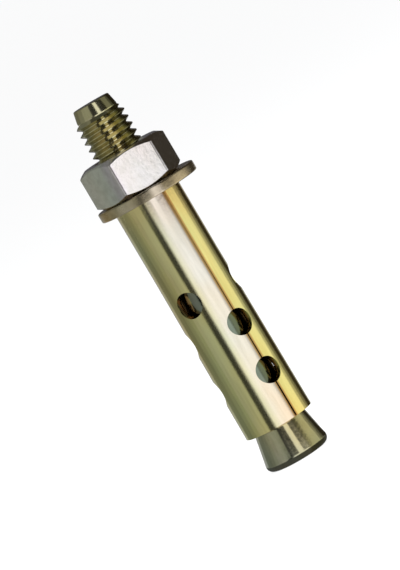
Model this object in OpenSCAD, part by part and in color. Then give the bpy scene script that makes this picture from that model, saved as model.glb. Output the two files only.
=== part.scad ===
// Sleeve anchor: a threaded stud with an expander cone at its foot, a rolled
// steel sleeve around it, a flat washer and a hexagon nut. Millimetres, +Z up.
// It stands on the flat end of its cone, and the origin is the centre of that end.

/* [Thread] */
// Outer diameter of the rolled and plated thread, 10 nominal
thread_d = 9.85; // [7.8:0.05:11.8]
// Rise of the thread in one turn, and so the distance between its crests
pitch = 1.5; // [1:0.05:1.75]
// Depth of the thread's groove
thread_depth = 0.9; // [0.5:0.05:1]
// Width of the flat on a crest
crest_flat = 0.15; // [0.1:0.01:0.2]
// Width of the flat in the bottom of the groove
groove_flat = 0.18; // [0.1:0.01:0.25]
// Length of the threaded stretch, without the plain tip
thread_l = 30; // [24:0.5:44]
// Length of stud that stands out of the nut
thread_out = 10.5; // [6:0.5:20]
// Play between the thread and the nut around it, on the radius
nut_clear = 0.05; // [0.02:0.01:0.08]

/* [Stud tip] */
// Length of the plain tapered tip
tip_l = 2.2; // [1:0.1:3]
// Depth of the tip's end below the thread's crests, on the radius
tip_end_drop = 1.15; // [0.8:0.05:1.4]
// Depth of the tip's foot below the thread's crests, on the radius
tip_foot_drop = 0.75; // [0.3:0.05:0.75]

/* [Shank and cone] */
// Depth of the plain shank below the thread's crests, on the radius
shank_drop = 0.48; // [0.3:0.02:0.9]
// Length of cone that stands out of the sleeve
cone_out = 7.7; // [5:0.1:10]
// Step from the sleeve's foot in to the cone's sharp corner, on the radius
cone_step = 0.22; // [0:0.02:0.5]
// Rounding of the cone's lower edge
cone_edge_r = 1.2; // [0.5:0.1:1.5]
// Hollow rounding between the cone and the shank
cone_root_r = 8; // [3:0.5:12]
// Gap between the cone and the sleeve's inner edge, on the radius
seat_clear = 0.05; // [0.03:0.01:0.15]

/* [Sleeve] */
// Length of the sleeve
sleeve_l = 48.6; // [42:0.2:70]
// Thickness of the rolled sheet
wall = 1.65; // [1.2:0.05:2.2]
// Play between the thread and the sleeve, on the radius
sleeve_clear = 0.125; // [0.1:0.005:0.3]
// Length of the straight upper part, above the flare
plain_l = 14.4; // [8:0.2:16]
// How much wider the foot is than the straight part, on the radius
flare = 0.25; // [0.1:0.01:0.25]
// Small bevel round the four rims
rim_c = 0.25; // [0.1:0.05:0.4]

/* [Seam] */
// Direction of the seam, counted from the front towards the right
seam_at = 29; // [0:1:60]
// Opening of the seam at the top
seam_top = 0.16; // [0.1:0.02:0.4]
// Opening of the seam at the foot
seam_foot = 1.1; // [0.4:0.05:1.6]

/* [Punched holes] */
// Diameter of the holes in the sleeve
hole_d = 5.2; // [3.5:0.1:5.6]
// Height of the lower hole in a row of two, above the sleeve's foot
hole_low_z = 10; // [7:0.2:12]
// Distance from the lower hole up to the upper one
hole_pitch = 10.4; // [7:0.2:12]
// Height of the single hole in every other row, above the sleeve's foot
hole_single_z = 27.7; // [20:0.1:30]

/* [Washer] */
// Outer diameter of the washer
washer_d = 20.3; // [18:0.1:24]
// Thickness of the washer
washer_t = 1.9; // [1.2:0.1:2.5]
// How far the washer has slid towards the right
washer_slide = 0.7; // [0:0.05:0.9]
// Gap left beside the thread on the side it has slid from
washer_gap = 0.1; // [0.05:0.01:0.3]
// Rounding of the washer's rim
washer_edge_r = 0.45; // [0.2:0.05:0.55]

/* [Nut] */
// Width across the flats
nut_af = 16; // [15:0.1:18]
// Height of the nut
nut_h = 8.2; // [6:0.1:10]
// Diameter of the round flat on each end of the nut
nut_face_d = 15; // [13.6:0.1:15]
// Slope of the bevel on the corners, from the end face
nut_bevel_deg = 30; // [20:1:35]
// How far the nut is turned, counted from a corner to the right
nut_turn = 10.8; // [0:0.1:60]
// Width of the bevel at the mouths of the nut's hole, on the radius
nut_mouth = 0.4; // [0.2:0.05:0.6]

/* [Hidden] */
$fn = 96;
e = 0.5;                                     // overrun of a cut past a face
thread_r = thread_d / 2;
shank_r = thread_r - shank_drop;
bore_r = thread_r + sleeve_clear;            // sleeve, straight part, inside
sleeve_r = bore_r + wall;                    // sleeve, straight part, outside
foot_r = sleeve_r + flare;                   // sleeve, foot, outside
sleeve_z = cone_out;
washer_z = sleeve_z + sleeve_l;
nut_z = washer_z + washer_t;
nut_top = nut_z + nut_h;
tip_z = nut_top + thread_out;
thread_top = tip_z - tip_l;
thread_low = thread_top - thread_l;
groove_r = thread_r - thread_depth;
last_crest = thread_top - tip_foot_drop;     // upper end of the full thread
grooves = floor((last_crest - thread_low) / pitch);
flank_h = (pitch - crest_flat - groove_flat) / 2;
cone_r = foot_r - cone_step;                 // cone, sharp corner at its end
seat_r = bore_r + flare - seat_clear;        // cone, where the sleeve sits on it
slope = atan((cone_r - seat_r) / cone_out);  // half angle of the cone
cone_top = (cone_r - shank_r) / tan(slope);  // where the cone meets the shank
edge_x = cone_r - cone_edge_r * (1 + sin(slope)) / cos(slope);
root_x = shank_r + cone_root_r;              // centre of the hollow rounding
root_z = cone_top + cone_root_r * tan(slope / 2);
washer_r = washer_d / 2;
hole_rows = 6;

// Turns so that +X points to a direction counted from the front (-Y) to the right.
module facing(deg) {
    rotate([0, 0, deg - 90]) children();
}

// Groove number k of the thread, counted down from the tip. The thread is drawn as rings
// at its pitch, each a true turned groove, because a turned section can't climb.
function groove(k) =
    let (crest = last_crest - k * pitch - crest_flat, foot = last_crest - (k + 1) * pitch)
    [[thread_r, foot], [groove_r, foot + flank_h], [groove_r, crest - flank_h], [thread_r, crest]];

// Section of the stud: cone, hollow rounding, shank, threaded stretch and tapered tip.
module stud_section() {
    polygon(concat(
        [
            [0, 0], [edge_x, 0],
            for (t = [10 : 10 : 90])
                [edge_x + cone_edge_r * sin(t), cone_edge_r * (1 - cos(t))],
            [edge_x + cone_edge_r * cos(slope), cone_edge_r * (1 + sin(slope))]
        ],
        [
            for (i = [6 : -1 : 0])
                [root_x - cone_root_r * cos(i * slope / 6), root_z - cone_root_r * sin(i * slope / 6)]
        ],
        [
            [shank_r, thread_low - shank_drop], [thread_r, thread_low],
            for (k = [grooves - 1 : -1 : 0]) each groove(k),
            [thread_r, last_crest], [thread_r - tip_foot_drop, thread_top],
            [thread_r - tip_end_drop, tip_z], [0, tip_z]
        ]
    ));
}

module stud() {
    color([0.60, 0.57, 0.38])
        rotate_extrude() stud_section();
}

// Wedge that opens the seam, wider at the foot than at the top.
module seam_cut() {
    facing(seam_at)
        rotate([90, 0, 90])
            linear_extrude(height = foot_r + e)
                polygon([
                    [-seam_foot / 2, -e], [seam_foot / 2, -e],
                    [seam_top / 2, sleeve_l + e], [-seam_top / 2, sleeve_l + e]
                ]);
}

// One punched hole through the wall.
module punched_hole(deg, z) {
    facing(deg) translate([shank_r, 0, z])
        rotate([0, 90, 0]) cylinder(d = hole_d, h = foot_r - shank_r + e);
}

module sleeve() {
    flare_l = sleeve_l - plain_l;
    color([0.84, 0.79, 0.50])
        translate([0, 0, sleeve_z])
            difference() {
                rotate_extrude() polygon([
                    [bore_r + flare + rim_c, 0], [foot_r - rim_c, 0], [foot_r, rim_c],
                    [sleeve_r, flare_l], [sleeve_r, sleeve_l - rim_c],
                    [sleeve_r - rim_c, sleeve_l], [bore_r + rim_c, sleeve_l],
                    [bore_r, sleeve_l - rim_c], [bore_r, flare_l],
                    [bore_r + flare, rim_c]
                ]);
                seam_cut();
                for (i = [0 : hole_rows - 1])
                    for (z = i % 2 == 0 ? [hole_low_z, hole_low_z + hole_pitch] : [hole_single_z])
                        punched_hole(seam_at + i * 360 / hole_rows, z);
            }
}

module washer() {
    color([0.70, 0.64, 0.45])
        translate([washer_slide, 0, washer_z])
            rotate_extrude() {
                inner = thread_r + washer_slide + washer_gap;
                translate([inner, 0])
                    square([washer_r - washer_edge_r - inner, washer_t]);
                translate([washer_r - washer_edge_r - 0.1, washer_edge_r])
                    square([washer_edge_r + 0.1, washer_t - 2 * washer_edge_r]);
                for (z = [washer_edge_r, washer_t - washer_edge_r])
                    translate([washer_r - washer_edge_r, z]) circle(r = washer_edge_r);
            }
}

module nut() {
    face_r = nut_face_d / 2;
    corner_r = nut_af / 2 / cos(30) + 0.2;
    drop = (corner_r - face_r) * tan(nut_bevel_deg);
    hole_r = thread_r + nut_clear;
    color([0.80, 0.79, 0.74])
        translate([0, 0, nut_z]) rotate([0, 0, nut_turn])
            difference() {
                intersection() {
                    cylinder(d = nut_af / cos(30), h = nut_h, $fn = 6);
                    rotate_extrude() polygon([
                        [0, 0], [face_r, 0], [corner_r, drop],
                        [corner_r, nut_h - drop], [face_r, nut_h], [0, nut_h]
                    ]);
                }
                translate([0, 0, -e]) cylinder(r = hole_r, h = nut_h + 2 * e);
                for (up = [0, 1])
                    translate([0, 0, up * nut_h]) mirror([0, 0, up]) translate([0, 0, -nut_mouth])
                        cylinder(r1 = hole_r + 2 * nut_mouth, r2 = hole_r, h = 2 * nut_mouth);
            }
}

stud();
sleeve();
washer();
nut();
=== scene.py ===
"""Sleeve anchor: threaded stud, rolled sleeve, washer and nut, with a plain studio stage."""

import math

import bpy
from bpy.props import FloatProperty, FloatVectorProperty, IntProperty, PointerProperty
from mathutils import Matrix, Vector


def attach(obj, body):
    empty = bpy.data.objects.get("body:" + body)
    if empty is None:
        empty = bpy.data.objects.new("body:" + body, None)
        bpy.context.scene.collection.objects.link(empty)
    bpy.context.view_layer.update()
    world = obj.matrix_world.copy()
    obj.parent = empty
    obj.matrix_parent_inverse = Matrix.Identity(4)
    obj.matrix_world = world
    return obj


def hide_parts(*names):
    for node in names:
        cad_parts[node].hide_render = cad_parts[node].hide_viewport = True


bl_info = {
    "name": "Sleeve Anchor",
    "version": (1, 0, 0),
    "blender": (4, 5, 0),
    "location": "View3D > Sidebar > Anchor",
    "description": "Builds a sleeve anchor and a plain stage to show it on",
    "category": "Add Mesh",
}

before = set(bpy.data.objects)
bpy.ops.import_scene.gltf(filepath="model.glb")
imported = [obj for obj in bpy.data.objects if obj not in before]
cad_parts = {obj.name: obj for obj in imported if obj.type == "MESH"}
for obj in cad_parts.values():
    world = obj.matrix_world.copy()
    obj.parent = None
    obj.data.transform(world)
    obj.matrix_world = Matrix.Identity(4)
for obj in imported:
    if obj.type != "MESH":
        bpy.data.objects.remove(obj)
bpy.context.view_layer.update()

MM = 0.001
NUT_SIDES = 6
MERGE = 1e-6
# How far a cutter reaches past the face that it cuts
OVERRUN = 1.0 * MM
# Thread form as shares of the pitch: flat on the crest, flat in the groove, softened corner
CREST_FLAT, GROOVE_FLAT, CORNER_EASE = 0.10, 0.12, 0.035
# Softened corner as a share of the thread's depth
CORNER_DROP = 0.08
THREAD_STEPS = 72


# Sizes and colours

def length(name, description, value, low=0.0, high=200.0):
    return FloatProperty(name=name, description=description, default=value * MM,
                         min=low * MM, max=high * MM, unit="LENGTH", precision=5)


def colour(name, description, value):
    return FloatVectorProperty(name=name, description=description, subtype="COLOR",
                               size=3, min=0.0, max=1.0, default=value)


class AnchorStud(bpy.types.PropertyGroup):
    thread_d: length("Thread diameter", "Outer diameter of the thread", 9.85)
    pitch: length("Pitch", "Rise of the thread in one turn", 1.5)
    depth: length("Thread depth", "Depth of the thread's groove", 0.9)
    thread_low: length("Thread foot", "Height at which the thread starts", 44.7)
    thread_top: length("Thread top", "Height at which the thread ends", 74.7)
    tip_z: length("Tip", "Height of the stud's end", 76.9)
    tip_foot_r: length("Tip foot", "Radius of the plain tip where the thread ends", 4.175)
    tip_end_r: length("Tip end", "Radius of the plain tip at its end", 3.775)
    shank_r: length("Shank", "Radius of the plain shank", 4.445)
    cone_r: length("Cone corner", "Radius of the cone's sharp corner at its end", 6.73)
    seat_r: length("Seat", "Radius of the cone where the sleeve sits on it", 5.25)
    seat_z: length("Seat height", "Height at which the sleeve sits on the cone", 7.7)
    edge_r: length("Cone edge", "Rounding of the cone's lower edge", 1.2)
    root_r: length("Cone root", "Hollow rounding between the cone and the shank", 8.0)
    film: colour("Film", "Olive zinc film on the stud", (0.58, 0.55, 0.36))


class AnchorSleeve(bpy.types.PropertyGroup):
    foot_z: length("Foot", "Height of the sleeve's foot", 7.7)
    top_z: length("Top", "Height of the sleeve's upper end", 56.3)
    plain_l: length("Straight part", "Length of the straight upper part", 14.4)
    outer_r: length("Outer radius", "Outer radius of the straight part", 6.7)
    wall: length("Wall", "Thickness of the rolled sheet", 1.65)
    flare: length("Flare", "How much wider the foot is, on the radius", 0.25)
    seam_at: FloatProperty(name="Seam direction", description="Direction of the seam from the front",
                           default=math.radians(29), subtype="ANGLE")
    seam_top: length("Seam at the top", "Opening of the seam at the top, inside its rounded edges", 0.03)
    seam_foot: length("Seam at the foot", "Opening of the seam at the foot, inside its rounded edges", 0.38)
    hole_d: length("Holes", "Diameter of the punched holes", 5.2)
    low_z: length("Lower hole", "Height of the lower hole above the foot", 10.0)
    hole_pitch: length("Hole distance", "Distance between the holes of a pair", 10.4)
    single_z: length("Single hole", "Height of the single hole above the foot", 27.7)
    rows: IntProperty(name="Rows", description="Rows of holes round the sleeve", default=6, min=2, max=12)
    film: colour("Film", "Yellow zinc film on the sleeve", (0.74, 0.695, 0.29))


class AnchorWasher(bpy.types.PropertyGroup):
    outer_r: length("Outer radius", "Outer radius of the washer", 10.15)
    bore_r: length("Bore", "Radius of the washer's hole", 5.725)
    slide: length("Slide", "How far the washer has slid to the right", 0.7)
    low_z: length("Lower face", "Height of the lower face", 56.3)
    thick: length("Thickness", "Thickness of the washer", 1.9)
    edge_r: length("Rim rounding", "Rounding of the rim", 0.30)
    film: colour("Film", "Tan zinc film on the washer", (0.62, 0.53, 0.36))


class AnchorNut(bpy.types.PropertyGroup):
    flats: length("Across flats", "Width across the flats", 16.0)
    low_z: length("Lower face", "Height of the lower face", 58.2)
    high: length("Height", "Height of the nut", 8.2)
    face_r: length("End face", "Radius of the round flat on each end", 7.5)
    turn: FloatProperty(name="Turn", description="Direction of one corner", default=math.radians(10.8),
                        subtype="ANGLE")
    bevel: FloatProperty(name="Corner bevel", description="Slope of the bevel on the corners",
                         default=math.radians(30), subtype="ANGLE")
    film: colour("Film", "Silver-grey zinc on the nut", (0.88, 0.86, 0.84))


class AnchorStage(bpy.types.PropertyGroup):
    floor: colour("Floor", "Colour of the floor", (0.92, 0.92, 0.92))
    lens: FloatProperty(name="Lens", description="Focal length of the camera, in millimetres",
                        default=271.0)
    distance: length("Distance", "Distance from the camera to the anchor", 800.0, high=5000.0)
    above: FloatProperty(name="Camera height", description="Angle of the camera above level",
                         default=math.radians(5), subtype="ANGLE")
    roll: FloatProperty(name="Roll", description="Lean of the anchor in the picture",
                        default=math.radians(30.6), subtype="ANGLE")


# Modelling helpers

def clear_selection():
    if bpy.context.mode != "OBJECT":
        bpy.ops.object.mode_set(mode="OBJECT")
    bpy.ops.object.select_all(action="DESELECT")


def make_active(piece):
    clear_selection()
    piece.select_set(True)
    bpy.context.view_layer.objects.active = piece


def edit(piece, select="SELECT"):
    make_active(piece)
    bpy.ops.object.mode_set(mode="EDIT")
    bpy.ops.mesh.select_mode(type="VERT")
    bpy.ops.mesh.select_all(action=select)


def draw_outline(name, points):
    """Edges through (radius, height) points, drawn in the XZ plane."""
    clear_selection()
    bpy.ops.mesh.primitive_plane_add(size=MM, location=(0, 0, 0))
    piece = bpy.context.object
    piece.name = name
    piece.data.name = name
    edit(piece)
    bpy.ops.mesh.merge(type="CENTER")
    r, z = points[0]
    bpy.ops.transform.translate(value=(r, 0, z))
    for r_next, z_next in points[1:]:
        bpy.ops.mesh.extrude_vertices_move(
            TRANSFORM_OT_translate={"value": (r_next - r, 0, z_next - z)})
        r, z = r_next, z_next
    bpy.ops.object.mode_set(mode="OBJECT")
    return piece


def close_and_face_out():
    bpy.ops.mesh.select_all(action="SELECT")
    bpy.ops.mesh.remove_doubles(threshold=MERGE)
    bpy.ops.mesh.normals_make_consistent(inside=False)


def revolve(name, points, steps=160):
    """Solid of revolution about the Z axis from an outline."""
    piece = draw_outline(name, points)
    edit(piece)
    bpy.ops.mesh.spin(steps=steps, angle=math.tau, center=(0, 0, 0), axis=(0, 0, 1))
    close_and_face_out()
    bpy.ops.object.mode_set(mode="OBJECT")
    return piece


def arc(centre, radius, start, end, count):
    """Points on a circle, with the angles in degrees from the radius direction."""
    return [
        (centre[0] + radius * math.cos(math.radians(start + (end - start) * i / count)),
         centre[1] + radius * math.sin(math.radians(start + (end - start) * i / count)))
        for i in range(count + 1)
    ]


def combine(piece, other, operation):
    """Boolean of two closed pieces; the second one is used up."""
    make_active(piece)
    step = piece.modifiers.new("combine", "BOOLEAN")
    step.operation = operation
    step.solver = "EXACT"
    step.object = other
    bpy.ops.object.modifier_apply(modifier=step.name)
    bpy.data.objects.remove(other, do_unlink=True)


def round_edges(piece, width, segments=2, angle=35):
    make_active(piece)
    step = piece.modifiers.new("edges", "BEVEL")
    step.width = width
    step.segments = segments
    step.limit_method = "ANGLE"
    step.angle_limit = math.radians(angle)
    step.use_clamp_overlap = True
    bpy.ops.object.modifier_apply(modifier=step.name)


def finish_piece(piece, material, node, body, smooth=32):
    make_active(piece)
    bpy.ops.object.transform_apply(location=True, rotation=True, scale=True)
    bpy.ops.object.shade_smooth_by_angle(angle=math.radians(smooth))
    # large faces keep their own direction, so that they mirror like flat or straight metal
    even = piece.modifiers.new("normals", "WEIGHTED_NORMAL")
    even.mode = "FACE_AREA"
    even.weight = 100
    even.keep_sharp = True
    bpy.ops.object.modifier_apply(modifier=even.name)
    piece.data.materials.clear()
    piece.data.materials.append(material)
    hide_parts(node)
    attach(piece, body)


def threaded_rod(name, low, top, crest_r, pitch, depth):
    """Closed rod with a right-hand thread, cut flat at both ends."""
    root = crest_r - depth
    crest_flat, root_flat, ease = CREST_FLAT * pitch, GROOVE_FLAT * pitch, CORNER_EASE * pitch
    drop = CORNER_DROP * depth
    flank_top = root_flat + (pitch - crest_flat - root_flat) / 2
    start = math.floor(low / pitch - 1) * pitch
    turns = math.ceil((top - start) / pitch) + 1
    points = [
        (root, 0), (root, root_flat), (root + drop, root_flat + ease),
        (crest_r - drop, flank_top - ease), (crest_r, flank_top), (crest_r, flank_top + crest_flat),
        (crest_r - drop, flank_top + crest_flat + ease), (root + drop, pitch - ease), (root, pitch),
    ]
    piece = draw_outline(name, [(r, z + start) for r, z in points])
    make_active(piece)
    turn = piece.modifiers.new("thread", "SCREW")
    turn.axis = "Z"
    turn.angle = math.tau
    turn.screw_offset = pitch
    turn.iterations = turns
    turn.steps = turn.render_steps = THREAD_STEPS
    turn.use_merge_vertices = True
    turn.merge_threshold = MERGE
    bpy.ops.object.modifier_apply(modifier=turn.name)
    edit(piece)
    bpy.ops.mesh.remove_doubles(threshold=MERGE)
    for height, outer in ((low, False), (top, True)):
        bpy.ops.mesh.select_all(action="SELECT")
        bpy.ops.mesh.bisect(plane_co=(0, 0, height), plane_no=(0, 0, 1), use_fill=True,
                            clear_inner=not outer, clear_outer=outer)
    bpy.ops.mesh.select_all(action="SELECT")
    bpy.ops.mesh.normals_make_consistent(inside=False)
    bpy.ops.object.mode_set(mode="OBJECT")
    return piece


# Materials

# Film that leaves the base colour as it is
BARE = (1.0, 1.0, 1.0)
# Noise scales of the hue's patches, the drawn streaks and the grain, and the grain's depth
PATCHES, STREAKS, GRAIN = 110, 900, 1800
GRAIN_DEPTH = 0.04 * MM
# Distance from the axis and height at which a band's ramp ends, in millimetres
RADIUS_END, HEIGHT_END = 20, 80


def new_material(name):
    material = bpy.data.materials.new(name)
    material.use_nodes = True
    return material, material.node_tree


def glow(tree, tint, strength):
    node = tree.nodes.new("ShaderNodeEmission")
    node.inputs["Color"].default_value = (*tint, 1)
    node.inputs["Strength"].default_value = strength
    return node.outputs["Emission"]


def link_nodes(tree, *pairs):
    for source, target in pairs:
        tree.links.new(source, target)


def noise(tree, coords, scale, detail=3.0, stretch=(1, 1, 1)):
    mapping = tree.nodes.new("ShaderNodeMapping")
    mapping.inputs["Scale"].default_value = stretch
    texture = tree.nodes.new("ShaderNodeTexNoise")
    texture.inputs["Scale"].default_value = scale
    texture.inputs["Detail"].default_value = detail
    link_nodes(tree, (coords.outputs["Object"], mapping.inputs["Vector"]),
               (mapping.outputs["Vector"], texture.inputs["Vector"]))
    return texture.outputs["Fac"]


def ramp(tree, factor, stops):
    node = tree.nodes.new("ShaderNodeValToRGB")
    tree.links.new(factor, node.inputs["Fac"])
    elements = node.color_ramp.elements
    while len(elements) < len(stops):
        elements.new(0.5)
    for element, (place, tone) in zip(elements, stops):
        element.position = place
        element.color = (*tone, 1.0)
    return node.outputs["Color"]


def shade(base, factor):
    return tuple(min(1.0, max(0.0, c * f)) for c, f in zip(base, factor))


def math_node(tree, operation, *values):
    node = tree.nodes.new("ShaderNodeMath")
    node.operation = operation
    for socket, value in zip(node.inputs, values):
        if isinstance(value, (int, float)):
            socket.default_value = value
        else:
            tree.links.new(value, socket)
    return node.outputs["Value"]


def place_on_axis(tree, coords):
    """Direction round the Z axis (0 to 1 from the back by the left), distance from it and height."""
    split = tree.nodes.new("ShaderNodeSeparateXYZ")
    tree.links.new(coords.outputs["Object"], split.inputs["Vector"])
    x, y, z = (split.outputs[name] for name in "XYZ")
    angle = math_node(tree, "ARCTAN2", x, math_node(tree, "MULTIPLY", y, -1.0))
    direction = math_node(tree, "MULTIPLY_ADD", angle, 1 / math.tau, 0.5)
    flat = tree.nodes.new("ShaderNodeCombineXYZ")
    size = tree.nodes.new("ShaderNodeVectorMath")
    size.operation = "LENGTH"
    link_nodes(tree, (x, flat.inputs["X"]), (y, flat.inputs["Y"]),
               (flat.outputs["Vector"], size.inputs[0]))
    return direction, size.outputs["Value"], z


def bands(tree, value, end, stops):
    """Colour along a value. Stops are in millimetres up to end, or in degrees where end is None."""
    if end:
        value = math_node(tree, "DIVIDE", value, end * MM)
        return ramp(tree, value, [(place / end, tone) for place, tone in stops])
    return ramp(tree, value, [((place + 180) / 360, tone) for place, tone in stops])


def multiply(tree, *colours):
    total = colours[0]
    for other in colours[1:]:
        mix = tree.nodes.new("ShaderNodeMix")
        mix.data_type = "RGBA"
        mix.blend_type = "MULTIPLY"
        mix.inputs["Factor"].default_value = 1.0
        link_nodes(tree, (total, mix.inputs["A"]), (other, mix.inputs["B"]))
        total = mix.outputs["Result"]
    return total


def zinc_film(name, base, rough, streak, warm, cool, bump,
              round_axis=None, by_radius=None, by_height=None):
    """Zinc plating under a passivation film: patchy hue, drawn streaks, fine grain, and bands by direction,
    distance from the axis and height, which carry the painted shade and highlights that a piece gives them.
    """
    material, tree = new_material(name)
    shader = tree.nodes["Principled BSDF"]
    shader.inputs["Metallic"].default_value = 1.0
    coords = tree.nodes.new("ShaderNodeTexCoord")
    patches = noise(tree, coords, PATCHES, 2.0, (1, 1, 0.45))
    layers = [ramp(tree, patches, [(0.30, shade(base, cool)), (0.50, base), (0.70, shade(base, warm))])]
    streaks = noise(tree, coords, STREAKS, 4.0, (1, 1, streak))
    layers.append(ramp(tree, streaks, [(0.35, (0.88, 0.88, 0.86)), (0.60, BARE)]))
    direction, radius, height = place_on_axis(tree, coords)
    for value, end, stops in ((direction, None, round_axis), (radius, RADIUS_END, by_radius),
                              (height, HEIGHT_END, by_height)):
        if stops:
            layers.append(bands(tree, value, end, stops))
    tree.links.new(multiply(tree, *layers), shader.inputs["Base Color"])
    gloss = tree.nodes.new("ShaderNodeMapRange")
    gloss.inputs["To Min"].default_value = rough[0]
    gloss.inputs["To Max"].default_value = rough[1]
    grain = noise(tree, coords, GRAIN, 1.5)
    link_nodes(tree, (streaks, gloss.inputs["Value"]),
               (gloss.outputs["Result"], shader.inputs["Roughness"]))
    relief = tree.nodes.new("ShaderNodeBump")
    relief.inputs["Strength"].default_value = bump
    relief.inputs["Distance"].default_value = GRAIN_DEPTH
    link_nodes(tree, (grain, relief.inputs["Height"]),
               (relief.outputs["Normal"], shader.inputs["Normal"]))
    return material


# Pieces

class ANCHOR_OT_stud(bpy.types.Operator):
    """Add the stud with its thread, shank and expander cone"""

    bl_idname = "anchor.stud"
    bl_label = "Stud"

    def execute(self, context):
        p = context.scene.anchor_stud
        crest = p.thread_d / 2
        slope = math.atan2(p.cone_r - p.seat_r, p.seat_z)
        meet_z = (p.cone_r - p.shank_r) / math.tan(slope)
        edge = (p.cone_r - p.edge_r * (1 + math.sin(slope)) / math.cos(slope), p.edge_r)
        root = (p.shank_r + p.root_r, meet_z + p.root_r * math.tan(slope / 2))
        lean = math.degrees(slope)
        end_r = 0.3 * MM
        # a core sunk below the grooves, which the threaded rod then covers
        core = crest - p.depth - 0.12 * MM
        core_low, core_top = p.thread_low + 0.5 * MM, p.thread_top - 0.9 * MM
        tip_low = p.thread_top - 0.3 * MM
        outline = (
            [(0, 0)] + arc(edge, p.edge_r, -90, lean, 12)
            + arc(root, p.root_r, 180 + lean, 180, 8)
            + [(p.shank_r, p.thread_low), (core, core_low), (core, core_top),
               (p.tip_foot_r, tip_low), (p.tip_foot_r, p.thread_top)]
            + arc((p.tip_end_r - end_r, p.tip_z - end_r), end_r, 8, 90, 4)
            + [(0, p.tip_z)]
        )
        stud = revolve("stud_threaded", outline)
        # the thread runs out into the shank below and into the tip above
        rod = threaded_rod("rod", p.thread_low - OVERRUN, p.thread_top + OVERRUN,
                           crest, p.pitch, p.depth)
        inset = 0.1 * MM
        low_r, top_r, wide = p.shank_r - inset, p.tip_foot_r - inset, crest + inset
        rod_low, rod_top = p.thread_low - 0.6 * MM, p.thread_top - inset
        low_slope, top_slope = 0.6, 0.9
        full_low = p.thread_low + (wide - low_r) / low_slope
        fade_top = p.thread_top - 0.25 * MM
        full_top = fade_top - (wide - top_r) / top_slope
        combine(rod, revolve("run_out", [
            (0, rod_low), (low_r, rod_low), (low_r, p.thread_low), (wide, full_low),
            (wide, full_top), (top_r, fade_top), (top_r, rod_top), (0, rod_top),
        ]), "INTERSECT")
        combine(stud, rod, "UNION")
        # painted shade: the stud darker and greyer on its right side, and on the shank where the sleeve
        # covers it
        painted_shade_right, painted_shade_in_sleeve = (0.64, 0.64, 0.48), (0.38, 0.44, 0.50)
        film = zinc_film(
            "zinc_olive", tuple(p.film), rough=(0.09, 0.19), streak=0.35,
            warm=(1.12, 1.0, 0.80), cool=(0.90, 1.0, 1.05), bump=0.16,
            round_axis=((-180, BARE), (20, BARE), (27, painted_shade_right), (60, painted_shade_right), (75, BARE),
                        (180, BARE)),
            by_height=((0, (0.86, 0.92, 1.05)), (8, BARE), (12, painted_shade_in_sleeve), (44, painted_shade_in_sleeve),
                       (47, BARE)))
        finish_piece(stud, film, "stud", "stud", 28)
        return {"FINISHED"}


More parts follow.
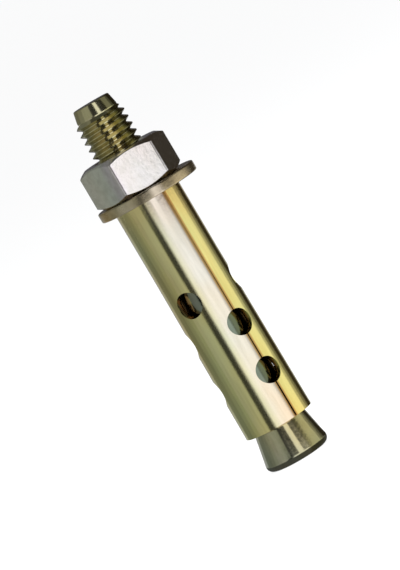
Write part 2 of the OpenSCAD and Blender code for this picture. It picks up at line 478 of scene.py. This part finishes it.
class ANCHOR_OT_sleeve(bpy.types.Operator):
    """Add the rolled sleeve with its seam and punched holes"""

    bl_idname = "anchor.sleeve"
    bl_label = "Sleeve"

    def execute(self, context):
        p = context.scene.anchor_sleeve
        bore = p.outer_r - p.wall
        bend_z = p.top_z - p.plain_l
        sleeve = revolve("sleeve_rolled", [
            (bore + p.flare, p.foot_z), (p.outer_r + p.flare, p.foot_z),
            (p.outer_r, bend_z), (p.outer_r, p.top_z), (bore, p.top_z), (bore, bend_z),
            (bore + p.flare, p.foot_z),
        ], steps=192)
        combine(sleeve, self.seam_wedge(p), "DIFFERENCE")
        for row in range(p.rows):
            heights = [p.single_z] if row % 2 else [p.low_z, p.low_z + p.hole_pitch]
            for z in heights:
                punch = self.punch(p, p.seam_at + row * math.tau / p.rows, p.foot_z + z)
                combine(sleeve, punch, "DIFFERENCE")
        round_edges(sleeve, width=0.20 * MM, segments=3, angle=40)
        seam = math.degrees(p.seam_at)
        # painted shade: the bore and the hole walls darker and browner
        hole_wall_shade = (0.74, 0.49, 0.56)
        film = zinc_film(
            "zinc_yellow", tuple(p.film), rough=(0.10, 0.19), streak=0.10,
            warm=(1.10, 0.96, 0.85), cool=(0.92, 1.01, 1.12), bump=0.10,
            # round the axis: a painted highlight, paler and whiter, on the front strip that faces the key
            # board, and painted shade, darker and browner, on the seam's rounded edges; the other bands
            # shift the film's hue, greener on the left and warmer on the right
            round_axis=(
                (-180, BARE), (-60, (0.96, 1.0, 1.25)), (-35, (1.02, 1.02, 1.15)),
                (-18, (1.0, 0.99, 1.05)), (-6, (1.0, 1.0, 1.6)), (4, (1.09, 1.06, 2.1)),
                (seam - 4.5, (1.09, 1.05, 2.1)), (seam - 3, (0.56, 0.37, 0.32)),
                (seam + 3, (0.66, 0.43, 0.30)), (seam + 4.5, (1.04, 0.98, 0.85)),
                (50, (1.04, 0.99, 0.9)), (100, BARE), (180, BARE)),
            by_radius=((0, hole_wall_shade), (6.2, hole_wall_shade), (6.6, BARE)),
            by_height=((8, (1.0, 0.99, 0.94)), (35, (1.0, 0.99, 0.96)), (43, (0.97, 1.0, 1.05)),
                       (49, (0.99, 0.99, 1.0)), (54, (1.04, 0.95, 0.92))))
        finish_piece(sleeve, film, "sleeve", "sleeve", 30)
        return {"FINISHED"}

    def seam_wedge(self, p):
        """Upright wedge that opens the seam, wider at the foot."""
        reach = p.outer_r + p.flare + OVERRUN
        middle = (p.foot_z + p.top_z) / 2
        clear_selection()
        bpy.ops.mesh.primitive_cube_add(size=1, location=(reach / 2, 0, middle),
                                        scale=(reach, p.seam_foot, p.top_z - p.foot_z + 2 * OVERRUN))
        wedge = bpy.context.object
        bpy.ops.object.transform_apply(location=True, rotation=True, scale=True)
        for vertex in wedge.data.vertices:
            if vertex.co.z > middle:
                vertex.co.y *= p.seam_top / p.seam_foot
        wedge.rotation_euler.z = p.seam_at - math.pi / 2
        bpy.ops.object.transform_apply(location=True, rotation=True, scale=True)
        return wedge

    def punch(self, p, direction, height):
        """Round cutter through one wall."""
        inner, outer = 3.0 * MM, p.outer_r + p.flare + OVERRUN
        clear_selection()
        bpy.ops.mesh.primitive_cylinder_add(
            vertices=64, radius=p.hole_d / 2, depth=outer - inner,
            location=((inner + outer) / 2, 0, height), rotation=(0, math.pi / 2, 0))
        cutter = bpy.context.object
        bpy.ops.object.transform_apply(location=True, rotation=True, scale=True)
        cutter.rotation_euler.z = direction - math.pi / 2
        bpy.ops.object.transform_apply(location=True, rotation=True, scale=True)
        return cutter


class ANCHOR_OT_washer(bpy.types.Operator):
    """Add the flat washer with its rounded rim"""

    bl_idname = "anchor.washer"
    bl_label = "Washer"

    def execute(self, context):
        p = context.scene.anchor_washer
        low, top = p.low_z, p.low_z + p.thick
        rim = p.outer_r - p.edge_r
        lip = 0.2 * MM
        outline = (
            [(p.bore_r + lip, low)] + arc((rim, low + p.edge_r), p.edge_r, -90, 0, 6)
            + arc((rim, top - p.edge_r), p.edge_r, 0, 90, 6)
            + arc((p.bore_r + lip, top - lip), lip, 90, 180, 4)
            + arc((p.bore_r + lip, low + lip), lip, 180, 270, 4)
        )
        washer = revolve("washer_flat", outline)
        make_active(washer)
        washer.location.x = p.slide
        film = zinc_film(
            "zinc_tan", tuple(p.film), rough=(0.18, 0.32), streak=0.6,
            warm=(1.15, 0.98, 0.70), cool=(0.92, 0.98, 1.1), bump=0.3,
            # round the axis: a painted highlight on the rim's front, with painted shade on either side of
            # it
            round_axis=((-180, BARE), (-12, BARE), (-5, (0.60, 0.60, 0.60)), (4, (0.60, 0.60, 0.62)),
                        (9, (1.05, 1.05, 1.2)), (17, (1.05, 1.05, 1.2)), (22, (0.68, 0.66, 0.62)),
                        (32, (0.75, 0.72, 0.66)), (48, (1.0, 0.96, 0.84)), (180, BARE)))
        finish_piece(washer, film, "washer", "sleeve")
        return {"FINISHED"}


class ANCHOR_OT_nut(bpy.types.Operator):
    """Add the hexagon nut with its bevelled corners and thread"""

    bl_idname = "anchor.nut"
    bl_label = "Nut"

    def execute(self, context):
        p = context.scene.anchor_nut
        stud = context.scene.anchor_stud
        corner = p.flats / 2 / math.cos(math.pi / NUT_SIDES)
        top = p.low_z + p.high
        clear_selection()
        bpy.ops.mesh.primitive_cylinder_add(vertices=NUT_SIDES, radius=corner, depth=p.high,
                                            location=(0, 0, (p.low_z + top) / 2))
        nut = bpy.context.object
        nut.name = nut.data.name = "nut_hexagon"
        # the primitive's first corner points along +Y
        nut.rotation_euler.z = p.turn - math.pi / 2
        bpy.ops.object.transform_apply(location=True, rotation=True, scale=True)
        edit(nut, "DESELECT")
        bpy.ops.mesh.select_mode(type="EDGE")
        bpy.ops.object.mode_set(mode="OBJECT")
        for line in nut.data.edges:
            a, b = (nut.data.vertices[i].co for i in line.vertices)
            line.select = abs(a.z - b.z) > p.high / 2
        bpy.ops.object.mode_set(mode="EDIT")
        bpy.ops.mesh.bevel(offset=0.35 * MM, segments=4, affect="EDGES")
        bpy.ops.object.mode_set(mode="OBJECT")
        wide = corner + OVERRUN
        drop = (wide - p.face_r) * math.tan(p.bevel)
        combine(nut, revolve("turned", [
            (0, p.low_z), (p.face_r, p.low_z), (wide, p.low_z + drop),
            (wide, top - drop), (p.face_r, top), (0, top),
        ]), "INTERSECT")
        round_edges(nut, width=0.12 * MM, segments=2, angle=20)
        thread_play, tip_play = 0.04 * MM, 0.045 * MM
        crest = stud.thread_d / 2 + thread_play
        below, above = p.low_z - OVERRUN, top + OVERRUN
        tap = threaded_rod("tap", below, above, crest, stud.pitch, stud.depth)
        combine(nut, tap, "DIFFERENCE")
        # the nut's crests are cut back so that the stud's plain tip passes
        minor = stud.tip_foot_r + tip_play
        bore = revolve("bore", [(0, below), (minor, below), (minor, above), (0, above)])
        combine(nut, bore, "DIFFERENCE")
        mouth, deep = crest + 0.45 * MM, 1.4 * MM
        for z, way in ((p.low_z, 1), (top, -1)):
            outside, inside = z - way * OVERRUN, z + way * deep
            cone = revolve("mouth", [
                (0, outside), (mouth + OVERRUN, outside), (mouth - deep, inside), (0, inside)])
            combine(nut, cone, "DIFFERENCE")
        film = zinc_film(
            "zinc_silver", tuple(p.film), rough=(0.14, 0.26), streak=0.8,
            warm=(1.05, 0.98, 0.96), cool=(0.96, 0.97, 1.06), bump=0.30,
            # round the axis: slight painted shade, green-grey and lavender, on the nut's left face
            round_axis=((-180, BARE), (-100, BARE), (-60, (0.94, 1.0, 0.95)), (-38, (0.92, 0.97, 0.93)),
                        (-26, (0.90, 0.86, 0.96)), (-19, (0.96, 0.92, 1.0)), (-14, (1.0, 0.99, 1.0)),
                        (180, BARE)))
        finish_piece(nut, film, "nut", "nut", 25)
        return {"FINISHED"}


# Stage

# Each lamp's name, place, width in metres and power in watts, and the height that they aim at
LAMPS = (("key", (0.25, -0.45, 0.45), 0.45, 6.0), ("fill", (-0.45, -0.30, 0.40), 0.45, 3.0),
         ("top", (0.0, 0.15, 0.70), 0.60, 6.0))
LAMP_AIM = 38 * MM

FLOOR_R = 30.0
# Share of plain white in what the camera and a mirror see of the floor, the rest being lit floor
FLOOR_GLOW = 0.85
SKY, SKY_LEVEL = (0.9, 0.92, 0.95), 0.85

# Boards for the metal to mirror, in two rings round the anchor, the lower one carried on along
# the floor. For each board: its directions from the camera towards the right, in degrees, its
# brightness and its tint. The reach is their distance from the anchor, and the rings meet at the
# split. A lid closes them above. The foot disc, a dark painted shadow seen only in the metal, lies
# under the anchor, and the wedges on the floor start inside its edge.
CARD_REACH = 0.20
CARD_SPLIT = 0.044
CARD_TOP = 0.50
PLAIN, OLIVE, WARM, CLOUD = (1, 1, 1), (0.96, 1.0, 0.88), (1.0, 0.80, 0.55), (0.95, 0.92, 1.0)
CARDS_LOW = (
    (-14, 44, 1.2, PLAIN), (44, 52, 0.75, PLAIN), (52, 98, 1.12, PLAIN), (98, 110, 0.55, PLAIN),
    (110, 122, 0.22, PLAIN), (122, 150, 0.035, WARM), (150, 172, 0.40, PLAIN), (172, 196, 0.20, CLOUD),
    (-164, -134, 0.45, PLAIN), (-134, -118, 0.22, OLIVE), (-118, -104, 0.22, OLIVE),
    (-104, -88, 0.26, OLIVE), (-88, -74, 0.33, OLIVE), (-74, -60, 0.40, PLAIN),
    (-60, -48, 0.46, PLAIN), (-48, -36, 0.50, PLAIN), (-36, -18, 0.05, PLAIN), (-18, -14, 0.5, PLAIN),
)
CARDS_HIGH = (
    (5, 24, 1.2, PLAIN), (24, 62, 0.05, PLAIN), (62, 96, 0.40, PLAIN), (96, 112, 0.15, PLAIN),
    (112, 165, 0.035, WARM), (165, 195, 0.10, CLOUD), (-165, -110, 0.20, OLIVE),
    (-110, -75, 0.27, OLIVE), (-75, -26, 0.40, OLIVE), (-26, 5, 0.045, PLAIN),
)
LID_TONE, FOOT_SHADOW_TONE = 0.08, 0.10
LID_R, FOOT_SHADOW_R, WEDGE_START = CARD_REACH * 1.1, 16 * MM, 15 * MM
FOOT_SHADOW_LIFT, WEDGE_LIFT = 0.05 * MM, 0.1 * MM


class ANCHOR_OT_stage(bpy.types.Operator):
    """Add the floor, the lights and the camera"""

    bl_idname = "anchor.stage"
    bl_label = "Stage"

    def execute(self, context):
        p = context.scene.anchor_stage
        self.add_floor(p)
        self.add_world(context.scene)
        self.add_lights()
        self.add_cards()
        self.add_camera(context.scene, p)
        view = context.scene.view_settings
        view.view_transform = "Standard"
        return {"FINISHED"}

    def seen(self, tree):
        """1 for rays from the camera, a mirror or glass, else 0."""
        path = tree.nodes.new("ShaderNodeLightPath")
        total = path.outputs["Is Camera Ray"]
        for name in ("Is Glossy Ray", "Is Transmission Ray"):
            total = math_node(tree, "MAXIMUM", total, path.outputs[name])
        return total

    def add_floor(self, p):
        clear_selection()
        bpy.ops.mesh.primitive_circle_add(vertices=96, radius=FLOOR_R, fill_type="NGON",
                                          location=(0, 0, 0))
        floor = bpy.context.object
        floor.name = "floor"
        material, tree = new_material("floor_plain")
        shader = tree.nodes["Principled BSDF"]
        shader.inputs["Base Color"].default_value = (*p.floor, 1.0)
        shader.inputs["Roughness"].default_value = 0.9
        shader.inputs["Specular IOR Level"].default_value = 0.1
        share = math_node(tree, "MULTIPLY", self.seen(tree), FLOOR_GLOW)
        mix = tree.nodes.new("ShaderNodeMixShader")
        link_nodes(tree, (share, mix.inputs["Fac"]),
                   (shader.outputs["BSDF"], mix.inputs[1]), (glow(tree, PLAIN, 1.0), mix.inputs[2]),
                   (mix.outputs["Shader"], tree.nodes["Material Output"].inputs["Surface"]))
        floor.data.materials.append(material)

    def add_world(self, scene):
        world = bpy.data.worlds.new("studio")
        scene.world = world
        world.use_nodes = True
        tree = world.node_tree
        back = tree.nodes["Background"]
        back.inputs["Color"].default_value = (*SKY, 1)
        back.inputs["Strength"].default_value = SKY_LEVEL
        white = tree.nodes.new("ShaderNodeBackground")
        white.inputs["Color"].default_value = (1, 1, 1, 1)
        white.inputs["Strength"].default_value = 1.0
        mix = tree.nodes.new("ShaderNodeMixShader")
        link_nodes(tree, (self.seen(tree), mix.inputs["Fac"]),
                   (back.outputs["Background"], mix.inputs[1]),
                   (white.outputs["Background"], mix.inputs[2]),
                   (mix.outputs["Shader"], tree.nodes["World Output"].inputs["Surface"]))

    def add_lights(self):
        """Soft lamps that light the floor and leave the object's shadow on it."""
        aim = Vector((0, 0, LAMP_AIM))
        for name, place, size, power in LAMPS:
            lamp = bpy.data.lights.new(name, "AREA")
            lamp.shape = "SQUARE"
            lamp.size = size
            lamp.energy = power
            holder = bpy.data.objects.new(name, lamp)
            bpy.context.collection.objects.link(holder)
            holder.location = place
            holder.rotation_euler = (aim - holder.location).to_track_quat("-Z", "Y").to_euler()
            holder.visible_camera = holder.visible_glossy = False

    def add_cards(self):
        """Bright, grey and dark boards, out of the picture, for the metal to mirror."""
        for number, (start, end, tone, tint) in enumerate(CARDS_LOW):
            self.add_board(f"card_low_{number}", start, end, 0, CARD_SPLIT, tone, tint)
            self.add_wedge(f"card_floor_{number}", start, end, tone, tint)
        for number, (start, end, tone, tint) in enumerate(CARDS_HIGH):
            self.add_board(f"card_high_{number}", start, end, CARD_SPLIT, CARD_TOP, tone, tint)
        clear_selection()
        bpy.ops.mesh.primitive_circle_add(vertices=48, radius=LID_R, fill_type="NGON",
                                          location=(0, 0, CARD_TOP))
        self.light_card("card_lid", LID_TONE, OLIVE)
        # the foot disc is a painted shadow under the anchor, mirrored in the metal alone
        clear_selection()
        bpy.ops.mesh.primitive_circle_add(vertices=48, radius=FOOT_SHADOW_R, fill_type="NGON",
                                          location=(0, 0, FOOT_SHADOW_LIFT))
        self.light_card("card_foot_shadow", FOOT_SHADOW_TONE, PLAIN)

    def add_board(self, name, start, end, low, top, tone, tint):
        """Upright board between two directions and two heights."""
        turn, half = math.radians(start + end) / 2, math.radians(end - start) / 2
        clear_selection()
        bpy.ops.mesh.primitive_plane_add(
            size=1, rotation=(math.pi / 2, 0, turn),
            location=(math.sin(turn) * CARD_REACH, -math.cos(turn) * CARD_REACH, (low + top) / 2))
        bpy.context.object.scale = (2 * CARD_REACH * math.tan(half), top - low, 1)
        self.light_card(name, tone, tint)

    def add_wedge(self, name, start, end, tone, tint):
        """Flat board on the floor, out to the upright board."""
        turn, half = math.radians(start + end) / 2, math.radians(end - start) / 2
        clear_selection()
        bpy.ops.mesh.primitive_plane_add(size=2, location=(0, 0, WEDGE_LIFT))
        wedge = bpy.context.object
        for vertex in wedge.data.vertices:
            out = CARD_REACH if vertex.co.y < 0 else WEDGE_START
            vertex.co = (math.copysign(math.tan(half) * out, vertex.co.x), -out, 0)
        wedge.rotation_euler.z = turn
        self.light_card(name, tone, tint)

    def light_card(self, name, tone, tint):
        """Make the active board glow for the metal alone."""
        card = bpy.context.object
        card.name = name
        material, tree = new_material(name)
        tree.links.new(glow(tree, tint, tone), tree.nodes["Material Output"].inputs["Surface"])
        card.data.materials.append(material)
        card.visible_camera = card.visible_diffuse = card.visible_shadow = False
        card.visible_transmission = False

    def add_camera(self, scene, p):
        """Camera that leans with the photograph, aimed a little beside the anchor's middle."""
        above = Vector((0, math.sin(p.above), math.cos(p.above)))
        right = Vector((1, 0, 0))
        across = right * math.cos(p.roll) - above * math.sin(p.roll)
        up = right * math.sin(p.roll) + above * math.cos(p.roll)
        back = Vector((0, -math.cos(p.above), math.sin(p.above)))
        middle, aim_right, aim_down = 38.45 * MM, 0.87 * MM, 0.90 * MM
        aim = Vector((0, 0, middle)) + across * aim_right - up * aim_down
        place = aim + back * p.distance
        lens = bpy.data.cameras.new("camera")
        lens.sensor_fit = "VERTICAL"
        lens.sensor_height = 36.0
        lens.lens = p.lens
        lens.clip_start = 0.01
        lens.clip_end = 20.0
        camera = bpy.data.objects.new("camera", lens)
        bpy.context.collection.objects.link(camera)
        camera.matrix_world = Matrix((
            (across.x, up.x, back.x, place.x), (across.y, up.y, back.y, place.y),
            (across.z, up.z, back.z, place.z), (0, 0, 0, 1)))
        scene.camera = camera


class ANCHOR_PT_panel(bpy.types.Panel):
    """Lists the anchor's pieces and the stage"""

    bl_label = "Sleeve Anchor"
    bl_idname = "ANCHOR_PT_panel"
    bl_space_type = "VIEW_3D"
    bl_region_type = "UI"
    bl_category = "Anchor"

    def draw(self, context):
        for group, name in GROUPS:
            box = self.layout.box()
            box.operator(f"anchor.{name}")
            for prop in group.__annotations__:
                box.prop(getattr(context.scene, f"anchor_{name}"), prop)


GROUPS = ((AnchorStud, "stud"), (AnchorSleeve, "sleeve"), (AnchorWasher, "washer"),
          (AnchorNut, "nut"), (AnchorStage, "stage"))
CLASSES = tuple(group for group, _ in GROUPS) + (
    ANCHOR_OT_stud, ANCHOR_OT_sleeve, ANCHOR_OT_washer, ANCHOR_OT_nut, ANCHOR_OT_stage, ANCHOR_PT_panel)


def register():
    for cls in CLASSES:
        bpy.utils.register_class(cls)
    for group, name in GROUPS:
        setattr(bpy.types.Scene, f"anchor_{name}", PointerProperty(type=group))


def unregister():
    for _, name in reversed(GROUPS):
        delattr(bpy.types.Scene, f"anchor_{name}")
    for cls in reversed(CLASSES):
        bpy.utils.unregister_class(cls)


def main():
    register()
    bpy.ops.anchor.stud()
    bpy.ops.anchor.sleeve()
    bpy.ops.anchor.washer()
    bpy.ops.anchor.nut()
    bpy.ops.anchor.stage()
    bpy.context.view_layer.update()


if __name__ == "__main__":
    main()
